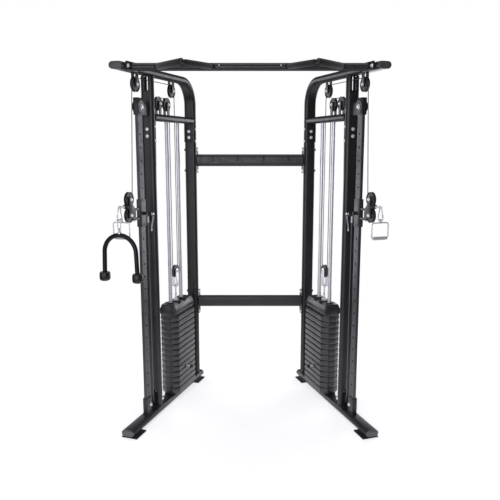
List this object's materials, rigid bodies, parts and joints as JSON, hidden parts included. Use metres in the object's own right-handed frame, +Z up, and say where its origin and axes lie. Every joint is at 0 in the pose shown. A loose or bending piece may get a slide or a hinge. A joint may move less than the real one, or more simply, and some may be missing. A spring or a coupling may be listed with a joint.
{
  "type": "functional trainer",
  "caption": "Free-standing functional trainer: two splayed weight-stack frames with height-adjustable cable pulleys, joined by a pull-up bar and cross tubes.",
  "frame": {"origin": "on the floor, at the middle of the bounding box", "axes": "+Z up; the open front, where the user stands, faces -Y; +X to the right of someone looking at the front"},
  "size_m": [1.5917, 1.0842, 2.104],
  "materials": {
    "frame_paint": "textured powder coat",
    "plate_paint": "painted casting",
    "chrome": "polished",
    "nylon": "moulded",
    "cable_skin": "clear-coated wire",
    "steel": "zinc plated",
    "stop_rubber": "moulded rubber",
    "handle_black": "black coated"
  },
  "bodies": {
    "frame": {"pull_up_bar": "frame_paint", "upper_cross_tube": "frame_paint", "lower_cross_tube": "frame_paint", "left_base_rail": "frame_paint", "left_front_upright": "frame_paint", "left_rear_arch": "frame_paint", "left_mid_brace": "frame_paint", "left_guide_tube": "frame_paint", "left_guide_rod_front": "chrome", "left_guide_rod_rear": "chrome", "left_resting_plates": "plate_paint", "left_cable": "cable_skin", "right_base_rail": "frame_paint", "right_front_upright": "frame_paint", "right_rear_arch": "frame_paint", "right_mid_brace": "frame_paint", "right_guide_tube": "frame_paint", "right_guide_rod_front": "chrome", "right_guide_rod_rear": "chrome", "right_resting_plates": "plate_paint", "right_cable": "cable_skin"},
    "left_carriage": {"left_carriage": "frame_paint"},
    "left_pull_pin": {"left_pull_pin": "nylon"},
    "left_pulley_block": {"left_pulley_block": "frame_paint"},
    "left_stack": {"left_stack_head": "plate_paint", "left_lifted_plates": "plate_paint", "left_selector_stem": "steel"},
    "left_selector_pin": {"left_selector_pin": "nylon"},
    "left_cable_stop": {"left_cable_stop": "stop_rubber"},
    "left_carabiner": {"left_carabiner": "chrome"},
    "left_stirrup_handle": {"left_stirrup_handle": "chrome"},
    "left_carriage_pulley_upper": {"left_carriage_pulley_upper": "nylon"},
    "left_carriage_pulley_lower": {"left_carriage_pulley_lower": "nylon"},
    "left_top_front_pulley": {"left_top_front_pulley": "nylon"},
    "left_top_rear_pulley": {"left_top_rear_pulley": "nylon"},
    "left_brace_pulley_front": {"left_brace_pulley_front": "nylon"},
    "left_brace_pulley_rear": {"left_brace_pulley_rear": "nylon"},
    "left_base_pulley": {"left_base_pulley": "nylon"},
    "left_floating_pulley": {"left_floating_pulley": "nylon"},
    "right_carriage": {"right_carriage": "frame_paint"},
    "right_pull_pin": {"right_pull_pin": "nylon"},
    "right_pulley_block": {"right_pulley_block": "frame_paint"},
    "right_stack": {"right_stack_head": "plate_paint", "right_lifted_plates": "plate_paint", "right_selector_stem": "steel"},
    "right_selector_pin": {"right_selector_pin": "nylon"},
    "right_cable_stop": {"right_cable_stop": "stop_rubber"},
    "right_carabiner": {"right_carabiner": "chrome"},
    "right_stirrup_handle": {"right_stirrup_handle": "chrome"},
    "right_carriage_pulley_upper": {"right_carriage_pulley_upper": "nylon"},
    "right_carriage_pulley_lower": {"right_carriage_pulley_lower": "nylon"},
    "right_top_front_pulley": {"right_top_front_pulley": "nylon"},
    "right_top_rear_pulley": {"right_top_rear_pulley": "nylon"},
    "right_brace_pulley_front": {"right_brace_pulley_front": "nylon"},
    "right_brace_pulley_rear": {"right_brace_pulley_rear": "nylon"},
    "right_base_pulley": {"right_base_pulley": "nylon"},
    "right_floating_pulley": {"right_floating_pulley": "nylon"},
    "left_link": {"left_link": "chrome"},
    "left_bent_handle": {"left_bent_handle": "handle_black"}
  },
  "joints": [
    {"name": "left_carriage_height", "type": "slide", "parent": "frame", "child": "left_carriage", "axis": [0, 0, 1], "range_m": [-1.05, 0.45], "deforming": ["left_cable"]},
    {"name": "left_pull_pin_pull", "type": "slide", "parent": "left_carriage", "child": "left_pull_pin", "axis": [0.9455, -0.3256, 0], "range_m": [0, 0.012], "stiffness_N_per_m": 400, "springref_m": -0.004},
    {"name": "left_block_swivel", "type": "hinge", "parent": "left_carriage", "child": "left_pulley_block", "pos_m": [-0.61911, -0.2831, 1.283], "axis": [0, 0, 1], "range_deg": [-75, 75]},
    {"name": "left_stack_lift", "type": "slide", "parent": "frame", "child": "left_stack", "axis": [0, 0, 1], "range_m": [0, 0.85]},
    {"name": "left_selector_pin_pull", "type": "slide", "parent": "left_stack", "child": "left_selector_pin", "axis": [0.9455, -0.3256, 0], "range_m": [0, 0.08]},
    {"name": "left_handle_pull", "type": "slide", "parent": "left_pulley_block", "child": "left_cable_stop", "axis": [-0.3256, -0.9455, 0], "range_m": [0, 1.7]},
    {"name": "left_clip_swing", "type": "hinge", "parent": "left_cable_stop", "child": "left_carabiner", "pos_m": [-0.66925, -0.42871, 1.335], "axis": [0.9455, -0.3256, 0], "range_deg": [-60, 5]},
    {"name": "left_stirrup_swing", "type": "hinge", "parent": "left_carabiner", "child": "left_stirrup_handle", "pos_m": [-0.66404, -0.41358, 1.266], "axis": [-0.3256, -0.9455, 0], "range_deg": [-35, 35]},
    {"name": "left_carriage_pulley_upper_spin", "type": "hinge", "parent": "left_pulley_block", "child": "left_carriage_pulley_upper", "pos_m": [-0.63539, -0.33038, 1.371], "axis": [0.9455, -0.3256, 0], "continuous": true},
    {"name": "left_carriage_pulley_lower_spin", "type": "hinge", "parent": "left_pulley_block", "child": "left_carriage_pulley_lower", "pos_m": [-0.63669, -0.33416, 1.283], "axis": [0.9455, -0.3256, 0], "continuous": true},
    {"name": "left_top_front_pulley_spin", "type": "hinge", "parent": "frame", "child": "left_top_front_pulley", "pos_m": [-0.59991, -0.22732, 2], "axis": [0.9455, -0.3256, 0], "continuous": true},
    {"name": "left_top_rear_pulley_spin", "type": "hinge", "parent": "frame", "child": "left_top_rear_pulley", "pos_m": [-0.4547, 0.19438, 2], "axis": [0.9455, -0.3256, 0], "continuous": true},
    {"name": "left_brace_pulley_front_spin", "type": "hinge", "parent": "frame", "child": "left_brace_pulley_front", "pos_m": [-0.5133, 0.02419, 1.913], "axis": [0.9455, -0.3256, 0], "continuous": true},
    {"name": "left_brace_pulley_rear_spin", "type": "hinge", "parent": "frame", "child": "left_brace_pulley_rear", "pos_m": [-0.47814, 0.12631, 1.913], "axis": [0.9455, -0.3256, 0], "continuous": true},
    {"name": "left_base_pulley_spin", "type": "hinge", "parent": "frame", "child": "left_base_pulley", "pos_m": [-0.554, -0.094, 0.1], "axis": [0.9455, -0.3256, 0], "continuous": true},
    {"name": "left_floating_pulley_spin", "type": "hinge", "parent": "left_stack", "child": "left_floating_pulley", "pos_m": [-0.4547, 0.19438, 0.854], "axis": [0.9455, -0.3256, 0], "continuous": true},
    {"name": "right_carriage_height", "type": "slide", "parent": "frame", "child": "right_carriage", "axis": [0, 0, 1], "range_m": [-1.05, 0.45], "deforming": ["right_cable"]},
    {"name": "right_pull_pin_pull", "type": "slide", "parent": "right_carriage", "child": "right_pull_pin", "axis": [-0.9455, -0.3256, 0], "range_m": [0, 0.012], "stiffness_N_per_m": 400, "springref_m": -0.004},
    {"name": "right_block_swivel", "type": "hinge", "parent": "right_carriage", "child": "right_pulley_block", "pos_m": [0.69311, -0.2831, 1.283], "axis": [0, 0, -1], "range_deg": [-75, 75]},
    {"name": "right_stack_lift", "type": "slide", "parent": "frame", "child": "right_stack", "axis": [0, 0, 1], "range_m": [0, 0.85]},
    {"name": "right_selector_pin_pull", "type": "slide", "parent": "right_stack", "child": "right_selector_pin", "axis": [-0.9455, -0.3256, 0], "range_m": [0, 0.08]},
    {"name": "right_handle_pull", "type": "slide", "parent": "right_pulley_block", "child": "right_cable_stop", "axis": [0.3256, -0.9455, 0], "range_m": [0, 1.7]},
    {"name": "right_clip_swing", "type": "hinge", "parent": "right_cable_stop", "child": "right_carabiner", "pos_m": [0.74325, -0.42871, 1.335], "axis": [0.9455, 0.3256, 0], "range_deg": [-60, 5]},
    {"name": "right_stirrup_swing", "type": "hinge", "parent": "right_carabiner", "child": "right_stirrup_handle", "pos_m": [0.74325, -0.42871, 1.266], "axis": [-0.3256, 0.9455, 0], "range_deg": [-35, 35]},
    {"name": "right_carriage_pulley_upper_spin", "type": "hinge", "parent": "right_pulley_block", "child": "right_carriage_pulley_upper", "pos_m": [0.70939, -0.33038, 1.371], "axis": [0.9455, 0.3256, 0], "continuous": true},
    {"name": "right_carriage_pulley_lower_spin", "type": "hinge", "parent": "right_pulley_block", "child": "right_carriage_pulley_lower", "pos_m": [0.71069, -0.33416, 1.283], "axis": [0.9455, 0.3256, 0], "continuous": true},
    {"name": "right_top_front_pulley_spin", "type": "hinge", "parent": "frame", "child": "right_top_front_pulley", "pos_m": [0.6739, -0.22732, 2], "axis": [0.9455, 0.3256, 0], "continuous": true},
    {"name": "right_top_rear_pulley_spin", "type": "hinge", "parent": "frame", "child": "right_top_rear_pulley", "pos_m": [0.5287, 0.19438, 2], "axis": [0.9455, 0.3256, 0], "continuous": true},
    {"name": "right_brace_pulley_front_spin", "type": "hinge", "parent": "frame", "child": "right_brace_pulley_front", "pos_m": [0.5873, 0.02419, 1.913], "axis": [0.9455, 0.3256, 0], "continuous": true},
    {"name": "right_brace_pulley_rear_spin", "type": "hinge", "parent": "frame", "child": "right_brace_pulley_rear", "pos_m": [0.55214, 0.12631, 1.913], "axis": [0.9455, 0.3256, 0], "continuous": true},
    {"name": "right_base_pulley_spin", "type": "hinge", "parent": "frame", "child": "right_base_pulley", "pos_m": [0.628, -0.094, 0.1], "axis": [0.9455, 0.3256, 0], "continuous": true},
    {"name": "right_floating_pulley_spin", "type": "hinge", "parent": "right_stack", "child": "right_floating_pulley", "pos_m": [0.5287, 0.19438, 0.854], "axis": [0.9455, 0.3256, 0], "continuous": true},
    {"name": "left_link_swing", "type": "hinge", "parent": "left_carabiner", "child": "left_link", "pos_m": [-0.67153, -0.43533, 1.266], "axis": [-0.3256, -0.9455, 0], "range_deg": [-30, 30]},
    {"name": "left_bent_handle_swing", "type": "hinge", "parent": "left_link", "child": "left_bent_handle", "pos_m": [-0.67153, -0.43533, 1.216], "axis": [0.9455, -0.3256, 0], "range_deg": [-60, 0]}
  ],
  "couplings": [
    {"joint": "left_handle_pull", "follows": "left_stack_lift", "ratio": 2},
    {"joint": "left_top_front_pulley_spin", "follows": "left_stack_lift", "rad_per_m": 55.556},
    {"joint": "left_top_rear_pulley_spin", "follows": "left_stack_lift", "rad_per_m": 55.556},
    {"joint": "left_carriage_pulley_upper_spin", "follows": "left_stack_lift", "rad_per_m": -55.556},
    {"joint": "left_floating_pulley_spin", "follows": "left_stack_lift", "rad_per_m": 27.778},
    {"joint": "left_brace_pulley_front_spin", "follows": "left_carriage_height", "rad_per_m": 27.778},
    {"joint": "left_brace_pulley_rear_spin", "follows": "left_carriage_height", "rad_per_m": 27.778},
    {"joint": "left_base_pulley_spin", "follows": "left_carriage_height", "rad_per_m": -27.778},
    {"joint": "right_handle_pull", "follows": "right_stack_lift", "ratio": 2},
    {"joint": "right_top_front_pulley_spin", "follows": "right_stack_lift", "rad_per_m": 55.556},
    {"joint": "right_top_rear_pulley_spin", "follows": "right_stack_lift", "rad_per_m": 55.556},
    {"joint": "right_carriage_pulley_upper_spin", "follows": "right_stack_lift", "rad_per_m": -55.556},
    {"joint": "right_floating_pulley_spin", "follows": "right_stack_lift", "rad_per_m": 27.778},
    {"joint": "right_brace_pulley_front_spin", "follows": "right_carriage_height", "rad_per_m": 27.778},
    {"joint": "right_brace_pulley_rear_spin", "follows": "right_carriage_height", "rad_per_m": 27.778},
    {"joint": "right_base_pulley_spin", "follows": "right_carriage_height", "rad_per_m": -27.778}
  ]
}
